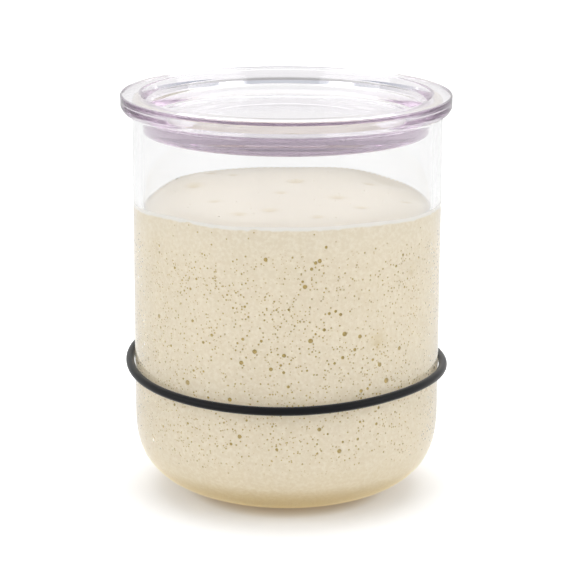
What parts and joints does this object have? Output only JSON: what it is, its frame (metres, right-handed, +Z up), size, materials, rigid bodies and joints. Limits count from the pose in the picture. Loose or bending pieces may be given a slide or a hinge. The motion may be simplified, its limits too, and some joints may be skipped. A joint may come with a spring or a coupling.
{
  "type": "sourdough starter jar",
  "caption": "Straight-sided glass jar with a rounded heel, a clear drop-in lid, a rubber level-marker ring and a bubbly sourdough starter inside.",
  "frame": {"origin": "centre of the base, on the surface that the jar stands on", "axes": "+Z up along the jar's axis; the pictured side faces -Y, and the rubber ring dips towards -Y and a little towards +X"},
  "size_m": [0.0918, 0.0918, 0.1129],
  "materials": {
    "glass": "polished clear",
    "lid_plastic": "clear, with a faint lavender tint at thick edges",
    "band_rubber": "satin black",
    "starter": "moist, bubbly cream dough"
  },
  "bodies": {
    "jar": {"glass_jar": "glass", "starter": "starter"},
    "lid": {"lid": "lid_plastic"},
    "band": {"marker_band": "band_rubber"}
  },
  "joints": [
    {"name": "lid_lift", "type": "slide", "parent": "jar", "child": "lid", "axis": [0, 0, 1], "range_m": [0, 0.08]},
    {"name": "band_slide", "type": "slide", "parent": "jar", "child": "band", "axis": [0, 0, 1], "range_m": [-0.008, 0.066]}
  ]
}
